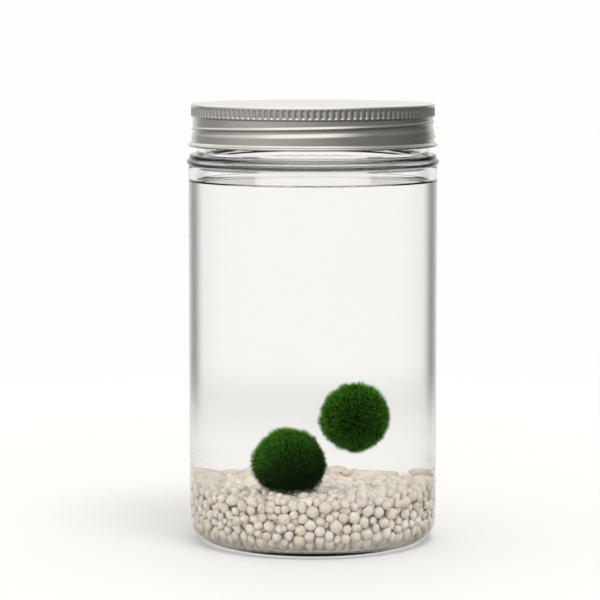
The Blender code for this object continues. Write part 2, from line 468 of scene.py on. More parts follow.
def green_moss(root, tip):
    """Moss fibres: dark green at the root, darkened further as painted shade deep in the coat, and fresh
    green at the tip, each with its own tint.
    Fibres that face up and a little to the left get brighter tips, as painted light, and those that face
    down get darker tips, as painted shade."""
    material, bench = new_material("green_moss")
    place = bench.object_place()
    height = bench.attribute("fibre_height")
    tint = bench.attribute("fibre_tint")
    patch = bench.noise(place, 260.0, 3.0)
    # Painted light and shade: this attribute brightens the tips of fibres that face up and to the left and
    # darkens those that face down.
    crown = bench.attribute("fibre_crown")
    rise = height.at_most(1.0) ** 2.0 * (0.35 + tint * 0.65) * (0.12 + crown * 0.88)
    # The near-black root colour, which the core also gets, is partly the moss's own dark green and partly
    # painted shade deep in the coat.
    green = bench.mix(rise, root, tip)
    yellower = tuple(a + b for a, b in zip(tip, (0.035, 0.03, 0.0)))
    aged = bench.mix(patch.ease(0.5, 0.75) * rise * 0.5, green, yellower)
    grain = bench.noise(place, 5200.0, 2.0)
    close_material(bench, principled(
        bench, Base_Color=aged, Roughness=0.62 + tint * 0.2, Specular_IOR_Level=0.0,
        Normal=bench.bump(grain, 0.02 * MM, 0.5)))
    return material


# What the floor gives off: an even glow all over, and a painted pool of light in a round patch under the
# jar's foot, though the floor is no lamp
LIT_FLOOR, PAINTED_FOOT_GLOW = (0.29, 0.286, 0.281), (0.95, 0.94, 0.925)
FOOT_GLOW_EDGE = (33.5 * MM, 39.5 * MM)
FLOOR_FADE = (0.16, 0.50)


def pale_floor(colour):
    """A matte pale floor with an even glow, a painted pool of light under the jar's foot, and a fade out
    well away from it.
    """
    material, bench = new_material("pale_floor")
    radius, _, _ = round_the_axis(bench)
    grain = bench.noise(bench.object_place(), 45.0, 3.0)
    shade = bench.mix(grain, darker(colour, 0.99), colour)
    # Painted pool of light: the floor glows much brighter in a round patch under the jar's foot.
    glow = bench.mix(radius.ease(*FOOT_GLOW_EDGE), PAINTED_FOOT_GLOW, LIT_FLOOR)
    matte = principled(bench, Base_Color=shade, Roughness=0.75, Specular_IOR_Level=0.1,
                       Emission_Color=glow, Emission_Strength=1.0)
    clear = bench.node("ShaderNodeBsdfTransparent")
    close_material(bench, bench.node(
        "ShaderNodeMixShader", None, {0: radius.ease(*FLOOR_FADE), 1: matte, 2: clear}))
    return material


# Meshes


def arc(centre, size, start, end, steps):
    """Points (radius, z) on an ellipse from start to end degrees: 0 is outwards and 90 is up."""
    angles = [math.radians(start + (end - start) * i / steps) for i in range(steps + 1)]
    return [(centre[0] + size[0] * math.cos(a), centre[1] + size[1] * math.sin(a)) for a in angles]


def guarded(profile, margin=0.2 * MM):
    """The profile with a point just inside each end of every long straight run.
    These keep flat faces flat when they are shaded smooth."""
    points = [profile[0]]
    for (r0, z0), (r1, z1) in zip(profile, profile[1:]):
        length = math.hypot(r1 - r0, z1 - z0)
        if length > 5.0 * margin:
            near, far = margin / length, 1.0 - margin / length
            points += [(r0 + (r1 - r0) * t, z0 + (z1 - z0) * t) for t in (near, far)]
        points.append((r1, z1))
    return points


def turned(steps, profile):
    """Rows for ring_mesh from points (radius, z), with a pole wherever the radius is nothing."""
    return [(1 if radius < WELD else steps, radius, z) for radius, z in profile]


def ring_faces(first, first_steps, second, second_steps):
    """Faces between two rings that start at these vertices.
    One ring's steps are a multiple of the other's."""
    if first_steps == second_steps:
        return [(first + i, second + i, second + (i + 1) % second_steps, first + (i + 1) % first_steps)
                for i in range(first_steps)]
    if first_steps < second_steps:
        flipped = ring_faces(second, second_steps, first, first_steps)
        return [tuple(reversed(face)) for face in flipped]
    faces = []
    share = first_steps // second_steps
    for i in range(second_steps):
        low, high = second + i, second + (i + 1) % second_steps
        for j in range(share):
            a = first + i * share + j
            b = first + (i * share + j + 1) % first_steps
            faces.append((a, low if j < share / 2 else high, b))
        if second_steps > 1:
            faces.append((first + i * share + (share + 1) // 2, low, high))
    return faces


def ring_mesh(name, rows):
    """A closed mesh of rings. Each row is (steps, radius, z), and one step is a pole on the axis.
    A radius may be a function of the angles round the ring."""
    points, faces, starts = [], [], []
    for steps, radius, z in rows:
        angles = FRONT + TAU * np.arange(steps) / steps
        radii = radius(angles) if callable(radius) else np.full(steps, 0.0 if steps == 1 else radius)
        starts.append(len(points))
        points += list(zip(radii * np.cos(angles), radii * np.sin(angles), np.full(steps, z)))
    for i in range(len(rows) - 1):
        faces += ring_faces(starts[i], rows[i][0], starts[i + 1], rows[i + 1][0])
    if signed_volume(points, faces) < 0.0:
        faces = [tuple(reversed(face)) for face in faces]
    mesh = bpy.data.meshes.new(name)
    mesh.from_pydata([tuple(map(float, p)) for p in points], [], faces)
    mesh.validate()
    mesh.shade_smooth()
    return mesh


def signed_volume(points, faces):
    """The volume inside closed faces, or less than nothing if they point inwards."""
    points = np.array(points)
    corners = np.array([(f[0], f[i], f[i + 1]) for f in faces for i in range(1, len(f) - 1)])
    a, b, c = (points[corners[:, i]] for i in range(3))
    return float(np.einsum("ij,ij->i", a, np.cross(b, c)).sum() / 6.0)


def add_piece(name, mesh, material=None):
    """An object at the origin that shows a mesh."""
    piece = bpy.data.objects.new(name, mesh)
    bpy.context.scene.collection.objects.link(piece)
    if material:
        mesh.materials.clear()
        mesh.materials.append(material)
    return piece


def hand_over(piece, body, slot, *nodes):
    """Puts a finished piece on the body it rides on and hides the CAD nodes it stands for. The slot is not
    used.
    """
    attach(piece, body)
    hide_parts(*nodes)


def turn_of(angles):
    """Turns round from the front of the jar, from -0.5 to 0.5."""
    return (angles - FRONT + math.pi) % TAU / TAU - 0.5


def eased(value, start, end):
    """0 up to start, 1 from end, and a smooth step between them."""
    t = np.clip((value - start) / (end - start), 0.0, 1.0)
    return t * t * (3.0 - 2.0 * t)


def bump_shape(distance, half_width):
    """1 at no distance, easing to 0 at half_width."""
    return np.cos(np.clip(np.abs(distance) / half_width, 0.0, 1.0) * math.pi / 2) ** 2


# Geometry Nodes


class Workshop(Bench):
    """A Geometry Nodes tree with named inputs, which is evaluated once into a plain mesh."""

    def __init__(self, name, inputs):
        super().__init__(bpy.data.node_groups.new(name, "GeometryNodeTree"))
        interface = self.tree.interface
        interface.new_socket("Geometry", in_out="INPUT", socket_type="NodeSocketGeometry")
        self.values = {}
        for label, (kind, value) in inputs.items():
            item = interface.new_socket(label, in_out="INPUT", socket_type=kind)
            self.values[item.identifier] = value
        interface.new_socket("Geometry", in_out="OUTPUT", socket_type="NodeSocketGeometry")
        self.given = self.node("NodeGroupInput")

    def close(self, geometry, material):
        """Realizes every instance, sets the material and ends the tree."""
        real = self.node("GeometryNodeRealizeInstances", None, {"Geometry": geometry})
        dressed = self.node("GeometryNodeSetMaterial", None, {"Geometry": real, "Material": material})
        self.node("NodeGroupOutput", None, {"Geometry": dressed})

    def named(self, name, kind="FLOAT"):
        """A named attribute of the geometry."""
        return self.node(
            "GeometryNodeInputNamedAttribute", {"data_type": kind}, {"Name": name})["Attribute"]

    def store(self, geometry, name, value):
        """The geometry with a number kept on each point."""
        return self.node("GeometryNodeStoreNamedAttribute", {"data_type": "FLOAT", "domain": "POINT"},
                         {"Geometry": geometry, "Name": name, "Value": value})

    def place(self):
        return self.node("GeometryNodeInputPosition")

    def move(self, geometry, offset):
        return self.node("GeometryNodeSetPosition", None, {"Geometry": geometry, "Offset": offset})

    def smooth(self, geometry):
        return self.node("GeometryNodeSetShadeSmooth", None, {0: geometry})

    def run_on(self, name, mesh):
        """The plain mesh that this tree makes of a mesh."""
        source = bpy.data.objects.new(name, mesh)
        bpy.context.scene.collection.objects.link(source)
        modifier = source.modifiers.new("workshop", "NODES")
        modifier.node_group = self.tree
        for identifier, value in self.values.items():
            modifier[identifier] = value
        bpy.context.view_layer.update()
        graph = bpy.context.evaluated_depsgraph_get()
        result = bpy.data.meshes.new_from_object(source.evaluated_get(graph))
        bpy.data.objects.remove(source, do_unlink=True)
        result.name = name
        return result


# The jar


def neck_radius_at(jar, z):
    """The neck's radius round one height, with the thread that rises anticlockwise."""

    def radius(angles):
        turn = turn_of(angles)
        from_end = np.minimum(turn - NECK_THREAD_TURNS[0], NECK_THREAD_TURNS[1] - turn)
        fade = np.clip(from_end / THREAD_FADE, 0.0, 1.0)
        thread = bump_shape(z - THREAD_Z - PITCH * turn, NECK_THREAD_HALF) * eased(fade, 0.0, 1.0)
        return jar.neck_radius + NECK_THREAD_DEPTH * thread

    return radius


def jar_inside(jar, wet_top):
    """The inner profile from the middle of the base up to the lip."""
    bore = jar.radius - jar.wall
    rim = (jar.neck_radius + jar.mouth_radius) / 2
    rim_half = (jar.neck_radius - jar.mouth_radius) / 2
    profile = [(0.0, jar.base), (FLAT_RADIUS, jar.base)]
    profile += arc((bore - INNER_HEEL, jar.base + INNER_HEEL), (INNER_HEEL, INNER_HEEL), -90, 0, 14)
    profile += [(bore, z) for z in (*STRAIGHT_ROWS, wet_top)]
    for share in np.linspace(0.0, 1.0, 15):
        profile.append((bore + (jar.mouth_radius - bore) * float(eased(share, 0.0, 1.0)),
                        SHOULDER_Z + SHOULDER_RISE * float(share)))
    return profile + arc((rim, RIM_Z - rim_half), (rim_half, rim_half), 180, 0, 14)


def jar_outside(jar):
    """The outer profile from the foot of the neck down to the middle of the base."""
    profile = arc((jar.neck_radius + NECK_FILLET, COLLAR_TOP + NECK_FILLET),
                  (NECK_FILLET, NECK_FILLET), 180, 270, 6)
    profile += arc((COLLAR_RADIUS - COLLAR_ROUND, COLLAR_TOP - COLLAR_ROUND),
                   (COLLAR_ROUND, COLLAR_ROUND), 90, 0, 6)
    profile += arc((COLLAR_RADIUS, RING_Z), RING_SIZE, 90, -90, 14)
    profile += [(jar.radius - 0.05 * MM, RING_Z - 1.5 * MM), (jar.radius, RING_Z - 2.1 * MM)]
    profile += [(jar.radius, z) for z in reversed(STRAIGHT_ROWS)]
    profile += arc((jar.radius - OUTER_HEEL, OUTER_HEEL), (OUTER_HEEL, OUTER_HEEL), 0, -90, 16)
    return profile + [(FLAT_RADIUS, 0.0), (0.0, 0.0)]


def is_wetted(face, jar, wet_top):
    """Whether a face of the glass lies on the bore, between the base and the top of the meniscus."""
    margin = 0.1 * MM
    radius = math.hypot(face.center.x, face.center.y)
    return radius < jar.radius - jar.wall + margin and jar.base - margin < face.center.z < wet_top


class MARIMO_OT_jar(bpy.types.Operator):
    """Make the clear glass jar with its heel, collar ring and threaded neck"""

    bl_idname = "marimo.make_jar"
    bl_label = "Make jar"

    def execute(self, context):
        jar, water = context.scene.marimo_jar, context.scene.marimo_water
        wet_top = water.top + water.meniscus
        inside, outside = jar_inside(jar, wet_top), jar_outside(jar)
        overlap, spacing = 0.1 * MM, 0.3 * MM
        neck = np.arange(inside[-1][1] - overlap, outside[0][1] + overlap, -spacing)
        rows = turned(jar.steps, guarded(inside))
        rows += [(jar.steps, neck_radius_at(jar, z), z) for z in neck]
        rows += turned(jar.steps, guarded(outside))
        mesh = ring_mesh("glass_jar", rows)
        piece = add_piece("glass_jar", mesh, clear_glass("clear_glass", tuple(jar.tint), FAINT_SHINE))
        mesh.materials.append(clear_glass("wetted_glass", tuple(jar.tint), NO_SHINE))
        for face in mesh.polygons:
            face.material_index = int(is_wetted(face, jar, wet_top))
        hand_over(piece, "filled_jar", "clear_glass", "jar")
        return {"FINISHED"}


# The water


class MARIMO_OT_water(bpy.types.Operator):
    """Fill the jar with clear water up to its meniscus"""

    bl_idname = "marimo.fill_water"
    bl_label = "Fill water"

    def execute(self, context):
        jar, water = context.scene.marimo_jar, context.scene.marimo_water
        overlap = 0.05 * MM
        wall = jar.radius - jar.wall + overlap
        bottom = jar.base - overlap
        profile = [(0.0, bottom), (FLAT_RADIUS, bottom)]
        profile += arc((wall - INNER_HEEL, bottom + INNER_HEEL), (INNER_HEEL, INNER_HEEL), -90, 0, 12)
        profile += [(wall, z) for z in (*STRAIGHT_ROWS, water.top + water.meniscus)]
        meniscus_reach, meniscus_steps = 3.2 * MM, 14
        for i in range(1, meniscus_steps + 1):
            share = i / meniscus_steps
            climb = water.meniscus * (1.0 - share) ** 2.2
            profile.append((wall - overlap - meniscus_reach * share ** 1.3, water.top + climb))
        profile += [(20.0 * MM, water.top), (0.0, water.top)]
        rows = turned(jar.steps, guarded(profile))
        mesh = ring_mesh("clear_water", rows)
        piece = add_piece("clear_water", mesh, clear_water(tuple(water.tint)))
        hand_over(piece, "filled_jar", "clear_water", "water")
        return {"FINISHED"}


# The cap and its liner

COARSE_PER_FLUTE = 2
FINE_PER_FLUTE = 8
CAP_CORNER = 0.9 * MM
CAP_CORNER_SIZE = (CAP_CORNER, CAP_CORNER)
BAND_BOTTOM = 145.60 * MM
FLUTE_MIDDLE = 147.35 * MM
FLUTE_STRAIGHT = 0.92 * MM
GROOVE_RADIUS = 40.98 * MM
SKIRT_RADIUS = 41.46 * MM
RIDGE_START_Z = 137.57 * MM
RIDGE_RISE = 0.42 * MM
RIDGE_HALF = 0.80 * MM
RIDGE_TURNS = (0.10, 0.24, 1.36, 1.49)  # where the ridge starts, is full, begins to fade and ends
SHELF_TOP = 1.20 * MM
SHELF_BOTTOM = 3.00 * MM
SKIRT_FOOT = (136.7 * MM, 137.6 * MM)
SKIRT_END = 136.95 * MM
SKIRT_SPACING = 0.2 * MM


def skirt_radius_at(z):
    """The cap's side round one height: a rolled ridge over a sloping shelf follows the thread."""

    def radius(angles):
        turn = turn_of(angles)
        foot = eased(z, *SKIRT_FOOT)
        shelf = RIDGE_START_Z + PITCH * (1.0 + np.sin(TAU * turn) / TAU)
        side = SKIRT_RADIUS + (GROOVE_RADIUS - SKIRT_RADIUS) * eased(z - shelf, -SHELF_BOTTOM, -SHELF_TOP)
        for along in (turn, turn + 1.0):
            crest = RIDGE_START_Z + PITCH * along
            shown = eased(along, *RIDGE_TURNS[:2]) * (1.0 - eased(along, *RIDGE_TURNS[2:])) * foot
            side += RIDGE_RISE * shown * bump_shape(z - crest, RIDGE_HALF)
        return side

    return radius


def inside_of(radius_at, sheet):
    """The inner face of a sheet whose outer face has this radius."""
    return lambda angles: radius_at(angles) - sheet


def cap_rows(cap, coarse, fine):
    """The shell's rings: over the top, down the outside, round the bead and back up the inside."""
    corner = arc((cap.radius - CAP_CORNER, CAP_TOP - CAP_CORNER), CAP_CORNER_SIZE, 90, 0, 9)
    corner_start = corner[0][0]
    top = [(0.0, CAP_TOP), (10.0 * MM, CAP_TOP), (36.0 * MM, CAP_TOP), (corner_start - 0.4 * MM, CAP_TOP)]
    band = [(cap.radius, z) for z in np.linspace(corner[-1][1], BAND_BOTTOM, 14)[1:]]
    under_band = [(cap.radius - 0.22 * MM, BAND_BOTTOM - 0.12 * MM),
                  (GROOVE_RADIUS + 0.06 * MM, BAND_BOTTOM - 0.32 * MM)]
    rows = turned(coarse, top)
    rows += turned(fine, [(corner_start - 0.2 * MM, CAP_TOP)] + corner + band + under_band)
    skirt = np.arange(BAND_BOTTOM - 0.5 * MM, SKIRT_END, -SKIRT_SPACING)
    skirt_start = skirt[0] + 0.08 * MM
    rows.append((fine, skirt_radius_at(skirt_start), skirt_start))
    rows += [(coarse, skirt_radius_at(z), z) for z in skirt]
    rows += turned(coarse, arc((CURL_OUT - CURL_RADIUS, CURL_Z), (CURL_RADIUS, CURL_RADIUS), 108, -90, 14))
    inner_skirt, inner_band = SKIRT_RADIUS - cap.sheet, cap.radius - cap.sheet
    inner_top = CAP_TOP - cap.sheet
    rows.append((coarse, inner_skirt + 0.1 * MM, CURL_Z - CURL_RADIUS + 0.25 * MM))
    rows.append((coarse, inner_skirt, CURL_Z))
    rows += [(coarse, inside_of(skirt_radius_at(z), cap.sheet), z) for z in skirt[::-2]]
    rows.append((coarse, inner_band, BAND_BOTTOM + 0.1 * MM))
    rows += turned(coarse, arc((inner_band - CAP_CORNER, inner_top - CAP_CORNER),
                               CAP_CORNER_SIZE, 0, 90, 5))
    return rows + turned(coarse, [(20.0 * MM, inner_top), (0.0, inner_top)])


class MARIMO_OT_cap(bpy.types.Operator):
    """Make the aluminium screw cap: one rolled shell whose band is pressed into flutes"""

    bl_idname = "marimo.make_cap"
    bl_label = "Make cap"

    def execute(self, context):
        cap = context.scene.marimo_cap
        coarse, fine = cap.flutes * COARSE_PER_FLUTE, cap.flutes * FINE_PER_FLUTE
        rows = cap_rows(cap, coarse, fine)
        mesh = ring_mesh("cap_shell", rows)
        pressed = [np.full(steps, float(steps == fine)) for steps, _, _ in rows]
        mesh.attributes.new("pressed", "FLOAT", "POINT").data.foreach_set("value", np.concatenate(pressed))
        finished = flute_press(cap, satin_aluminium(tuple(cap.colour))).run_on("screw_cap", mesh)
        hand_over(add_piece("screw_cap", finished), "cap", "satin_aluminium", "cap")
        return {"FINISHED"}


def flute_press(cap, material):
    """Geometry Nodes that press round-ended flutes into the band, all the way round."""
    shop = Workshop("flute_press", {
        "Flutes": ("NodeSocketFloat", float(cap.flutes)),
        "Depth": ("NodeSocketFloat", cap.flute_depth),
        "Half width": ("NodeSocketFloat", cap.flute_half_width),
        "Middle": ("NodeSocketFloat", FLUTE_MIDDLE),
        "Straight": ("NodeSocketFloat", FLUTE_STRAIGHT),
    })
    given = shop.given
    x, y, z = shop.split(shop.place())
    radius = (x * x + y * y).root().at_least(WELD)
    turns = y.angle_over(x) / TAU + 1.0
    across = ((turns * given["Flutes"]).fraction() - 0.5) * TAU * radius / given["Flutes"]
    along = ((z - given["Middle"]).size() - given["Straight"]).at_least(0.0)
    reach = ((across * across + along * along).root() / given["Half width"]).at_most(1.0)
    dent = (reach * (math.pi / 2)).cosine() ** 2.0 * given["Depth"] * shop.named("pressed")
    moved = shop.move(given["Geometry"], shop.combine(-x / radius * dent, -y / radius * dent, 0.0))
    shop.close(shop.smooth(moved), material)
    return shop


class MARIMO_OT_liner(bpy.types.Operator):
    """Finish the foam liner that lies inside the cap"""

    bl_idname = "marimo.finish_liner"
    bl_label = "Finish liner"

    def execute(self, context):
        liner = frame["nodes"]["cap_liner"]
        material = white_liner(tuple(context.scene.marimo_cap.liner_colour))
        for holder in liner.material_slots:
            holder.material = material
        return {"FINISHED"}


# The gravel

BED_TOP = 20.7 * MM
BED_SLOPE = (0.018, 0.010)  # how much the bed rises to the right and to the back
MOUND_RISE = 3.6 * MM
MOUND_DEPTH = (2.0 * MM, 28.0 * MM)  # how far behind the axis the mound starts and is full
MOUND_X, MOUND_HALF_WIDTH = 11.0 * MM, 40.0 * MM
LID_SPREAD = (-0.75 * MM, 0.55 * MM)  # how unevenly the top grains lie
POUR_TOP = 20.0 * MM
SETTLE_STEPS, SINK_STEPS, PAIRING_STEPS = 260, 200, 6
SINK = 0.02 * MM
GRAIN_CLEARANCE = 0.28 * MM
GRAIN_BUMP = 0.80 * MM
GRAIN_STRETCH = (0.88, 1.16)


def bed_height(x, y):
    """Top of the gravel: level in front, with a low mound towards the back right."""
    mound = eased(y, *MOUND_DEPTH) * bump_shape(x - MOUND_X, MOUND_HALF_WIDTH)
    return BED_TOP + BED_SLOPE[0] * x + BED_SLOPE[1] * y + MOUND_RISE * mound


def settle_grains(count, small, large, bore, floor, heel, seed):
    """Centres and radii of grains that lie against each other, the floor, the wall and the bed's top."""
    random = np.random.default_rng(seed)
    radii = random.uniform(small, large, count)
    angle, spread = random.uniform(0.0, TAU, count), np.sqrt(random.uniform(0.0, 1.0, count))
    reach = bore - large
    centres = np.stack([reach * spread * np.cos(angle), reach * spread * np.sin(angle),
                        random.uniform(floor + large, POUR_TOP, count)], axis=1)
    lid_offset = random.uniform(*LID_SPREAD, count)
    for step in range(SETTLE_STEPS):
        if step % PAIRING_STEPS == 0:
            first, second = near_pairs(centres, 2.0 * large + 1.0 * MM)
        push_apart(centres, radii, first, second)
        centres[:, 2] -= SINK if step < SINK_STEPS else 0.0
        lid = bed_height(centres[:, 0], centres[:, 1]) + lid_offset - radii
        centres[:, 2] = np.clip(centres[:, 2], floor + radii, np.maximum(lid, floor + radii))
        keep_in_bore(centres, radii, bore, floor, heel)
    return centres, radii


def push_apart(centres, radii, first, second):
    """Moves each pair of overlapping grains away from each other by most of their overlap."""
    gap = centres[second] - centres[first]
    distance = np.maximum(np.linalg.norm(gap, axis=1), WELD)
    overlap = np.maximum(radii[first] + radii[second] - distance, 0.0)
    push = gap * (0.5 * overlap / distance)[:, None] * 0.9
    for axis in range(3):
        centres[:, axis] -= np.bincount(first, push[:, axis], len(radii))
        centres[:, axis] += np.bincount(second, push[:, axis], len(radii))


def keep_in_bore(centres, radii, bore, floor, heel):
    """Moves grains that reach through the wall, or through the rounded heel, back inside."""
    out = np.hypot(centres[:, 0], centres[:, 1])
    pull = np.minimum(1.0, (bore - radii) / np.maximum(out, WELD))
    centres[:, :2] *= pull[:, None]
    out = out * pull
    heel_radius, heel_z = bore - heel, floor + heel
    past_r, past_z = out - heel_radius, centres[:, 2] - heel_z
    from_heel = np.hypot(past_r, past_z)
    in_heel = (past_r > 0.0) & (past_z < 0.0) & (from_heel > heel - radii)
    share = np.where(in_heel, (heel - radii) / np.maximum(from_heel, WELD), 1.0)
    target = np.where(in_heel, heel_radius + past_r * share, out)
    centres[:, :2] *= (target / np.maximum(out, WELD))[:, None]
    centres[:, 2] = np.where(in_heel, heel_z + past_z * share, centres[:, 2])


def near_pairs(centres, reach):
    """Every pair of centres closer than reach, as two arrays of indices."""
    place = centres.astype(np.float32) * 1000.0
    square = (place ** 2).sum(1)
    squared_distance = square[:, None] + square[None, :] - 2.0 * place @ place.T
    first, second = np.nonzero(squared_distance < (reach * 1000.0) ** 2)
    keep = first < second
    return first[keep], second[keep]


def grain_scatter(material, bump):
    """Geometry Nodes that set one pebble on each point, turned and sized by the point's own values."""
    shop = Workshop("grain_scatter", {"Bump": ("NodeSocketFloat", bump)})
    given = shop.given
    pebble = shop.node("GeometryNodeMeshIcoSphere", None, {"Radius": 1.0, "Subdivisions": 2})
    scattered = shop.node("GeometryNodeInstanceOnPoints", None, {
        "Points": given["Geometry"], "Instance": pebble,
        "Rotation": shop.named("grain_turn", "FLOAT_VECTOR"),
        "Scale": shop.named("grain_size", "FLOAT_VECTOR")})
    real = shop.node("GeometryNodeRealizeInstances", None, {"Geometry": scattered})
    drift = shop.named("grain_tint") * 7.0  # each grain has its own part of the noise
    lumps = shop.node("ShaderNodeTexNoise", {"noise_dimensions": "4D"},
                      {"Vector": shop.place(), "W": drift, "Scale": 420.0, "Detail": 1.0})["Color"]
    centred = shop.node("ShaderNodeVectorMath", {"operation": "SUBTRACT"}, {0: lumps, 1: (0.5, 0.5, 0.5)})
    offset = shop.node("ShaderNodeVectorMath", {"operation": "SCALE"}, {0: centred, "Scale": given["Bump"]})
    shop.close(shop.smooth(shop.move(real, offset)), material)
    return shop


def points_mesh(name, places, vectors, numbers):
    """A mesh of loose points with named vector and number attributes."""
    mesh = bpy.data.meshes.new(name)
    mesh.from_pydata([tuple(map(float, p)) for p in places], [], [])
    for label, values in vectors.items():
        mesh.attributes.new(label, "FLOAT_VECTOR", "POINT").data.foreach_set("vector", np.ravel(values))
    for label, values in numbers.items():
        mesh.attributes.new(label, "FLOAT", "POINT").data.foreach_set("value", np.ravel(values))
    return mesh


class MARIMO_OT_gravel(bpy.types.Operator):
    """Pour the gravel: settled grains in a lower and an upper layer"""

    bl_idname = "marimo.pour_gravel"
    bl_label = "Pour gravel"

    def execute(self, context):
        jar, gravel = context.scene.marimo_jar, context.scene.marimo_gravel
        centres, radii = settle_grains(
            gravel.grains, gravel.small, gravel.large, jar.radius - jar.wall - GRAIN_CLEARANCE,
            jar.base + GRAIN_CLEARANCE, INNER_HEEL, gravel.seed)
        random = np.random.default_rng(gravel.seed + 1)
        turns = random.uniform(0.0, TAU, (len(radii), 3))
        sizes = random.uniform(*GRAIN_STRETCH, (len(radii), 3)) * radii[:, None]
        tints = random.uniform(0.0, 1.0, len(radii))
        shop = grain_scatter(cream_gravel(tuple(gravel.light), tuple(gravel.dark)), GRAIN_BUMP)
        lower = centres[:, 2] < np.median(centres[:, 2])
        for name, chosen in (("gravel_lower", lower), ("gravel_upper", ~lower)):
            points = points_mesh(name + "_points", centres[chosen],
                                 {"grain_turn": turns[chosen], "grain_size": sizes[chosen]},
                                 {"grain_tint": tints[chosen]})
            piece = add_piece(name, shop.run_on(name, points))
            hand_over(piece, "filled_jar", "cream_gravel", "gravel")
        return {"FINISHED"}


# The moss balls

COAT_SHARE = 0.66  # how much of a fibre's length stands over the core, as they lean and differ
FIBRE_BEND = 0.28
FIBRE_LEAN = 0.26
FIBRE_SIZES = (0.55, 1.05)
CLUMP_SIZES = (0.72, 1.18)
CORE_STEPS = 48
CORE_LUMP = 0.32 * MM
RESTING_CROWN, RESTING_KEEL = 12.6 * MM, 9.6 * MM  # the resting ball's reach over and under its centre
FOOT_CLEARANCE = 0.2 * MM


def fibre_shop(name, moss, material, seed, area, painted_shade_share):
    """Geometry Nodes that root curved, tapering fibres all over a core and keep the core under them.
    The shade share says how much darker, as painted shade, the tips are of fibres that face down rather
    than up and to the left."""
    shop = Workshop(name, {
        "Density": ("NodeSocketFloat", moss.fibres / area),
        "Length": ("NodeSocketFloat", moss.fibre_length),
        "Radius": ("NodeSocketFloat", moss.fibre_radius),
        "Seed": ("NodeSocketInt", seed),
        "Painted shade share": ("NodeSocketFloat", painted_shade_share),
    })
    given = shop.given
    core = given["Geometry"]
    grown = shop.node("GeometryNodeDistributePointsOnFaces", {"distribute_method": "RANDOM"}, {
        "Mesh": core, "Density": shop.named("growth") * given["Density"], "Seed": given["Seed"]})
    fibre = shop.node("GeometryNodeMeshCone", {"fill_type": "NGON"}, {
        "Vertices": 3, "Side Segments": 2, "Depth": given["Length"],
        "Radius Top": given["Radius"] * 0.4, "Radius Bottom": given["Radius"]})
    _, _, z = shop.split(shop.place())
    height = (z / given["Length"]).at_most(1.0).at_least(0.0)
    marked = shop.store(fibre, "fibre_height", height)
    bent = shop.move(marked, shop.combine(height * height * given["Length"] * FIBRE_BEND, 0.0, 0.0))
    lean = shop.node("FunctionNodeRandomValue", {"data_type": "FLOAT_VECTOR"}, {
        "Min": (-FIBRE_LEAN, -FIBRE_LEAN, 0.0), "Max": (FIBRE_LEAN, FIBRE_LEAN, TAU),
        "Seed": given["Seed"]})
    leaning = shop.node("FunctionNodeRotateRotation", {"rotation_space": "LOCAL"}, {
        "Rotation": grown["Rotation"], "Rotate By": lean})
    size = shop.node("FunctionNodeRandomValue", {"data_type": "FLOAT"}, {
        "Min": FIBRE_SIZES[0], "Max": FIBRE_SIZES[1], "Seed": given["Seed"] + 3.0})
    clump = shop.noise(shop.place(), 330.0, 2.0).ease(0.35, 0.65, *CLUMP_SIZES)
    tint = shop.node("FunctionNodeRandomValue", {"data_type": "FLOAT"}, {
        "Min": 0.0, "Max": 1.0, "Seed": given["Seed"] + 7.0})
    rooted = shop.store(grown["Points"], "fibre_tint", tint)
    across, _, up = shop.split(grown["Normal"])
    # Painted light: fibres that face up and a little to the left count as lit, those that face down as
    # shaded.
    light_facing = (up * 0.90 - across * 0.35).ease(-0.45, 0.95)  # the crown leans a little to the left
    rooted = shop.store(rooted, "fibre_crown", 1.0 - given["Painted shade share"] * (1.0 - light_facing))
    planted = shop.node("GeometryNodeInstanceOnPoints", None, {
        "Points": rooted, "Instance": bent, "Rotation": leaning,
        "Scale": shop.combine(1.0, 1.0, size * clump)})
    real = shop.node("GeometryNodeRealizeInstances", None, {"Geometry": planted})
    joined = shop.node("GeometryNodeJoinGeometry")
    for part in (core, real):
        shop.tree.links.new(part.socket, joined.made.inputs[0])
    shop.close(shop.smooth(joined), material)
    return shop


def lumpy_core(name, centre, outline, seed):
    """A turned core with slow lumps. outline is its half profile about the centre, as (radius, z)."""
    random = np.random.default_rng(seed)
    mesh = ring_mesh(name, turned(CORE_STEPS, outline))
    places = np.array([vertex.co for vertex in mesh.vertices])
    waves = random.uniform(250.0, 520.0, (5, 3)) * random.choice([-1.0, 1.0], (5, 3))
    phases = random.uniform(0.0, TAU, 5)
    lumps = sum(np.sin(places @ wave + phase) for wave, phase in zip(waves, phases)) / 5.0
    length = np.maximum(np.linalg.norm(places, axis=1), WELD)
    upper = eased(places[:, 2], -7.0 * MM, -4.0 * MM)
    places += places / length[:, None] * (lumps * CORE_LUMP * (0.25 + 0.75 * upper))[:, None]
    places += np.array(centre)
    mesh.vertices.foreach_set("co", places.ravel())
    mesh.update()
    return mesh


def mark_growth(mesh, floor_z):
    """Fibres grow everywhere but on a foot that lies on the gravel."""
    heights = np.array([vertex.co.z for vertex in mesh.vertices])
    growth = eased(heights, floor_z, floor_z + 1.5 * MM)
    mesh.attributes.new("growth", "FLOAT", "POINT").data.foreach_set("value", growth)
    return mesh


def resting_outline(half, coat):
    """Half the resting core's profile about its centre: round above and below, with a flat foot."""
    crown, keel = RESTING_CROWN - coat, RESTING_KEEL - coat + 0.5 * MM
    foot = RESTING_LOW.z - (RESTING_HIGH.z - RESTING_CROWN) + 0.15 * MM
    keel_end = -math.degrees(math.asin(min(0.98, -foot / keel)))
    outline = [(0.0, crown)] + arc((0.0, 0.0), (half, crown), 90, 0, 16)[1:]
    outline += arc((0.0, 0.0), (half, keel), 0, keel_end, 9)[1:]
    return outline + [(outline[-1][0] * 0.5, foot), (0.0, foot)]


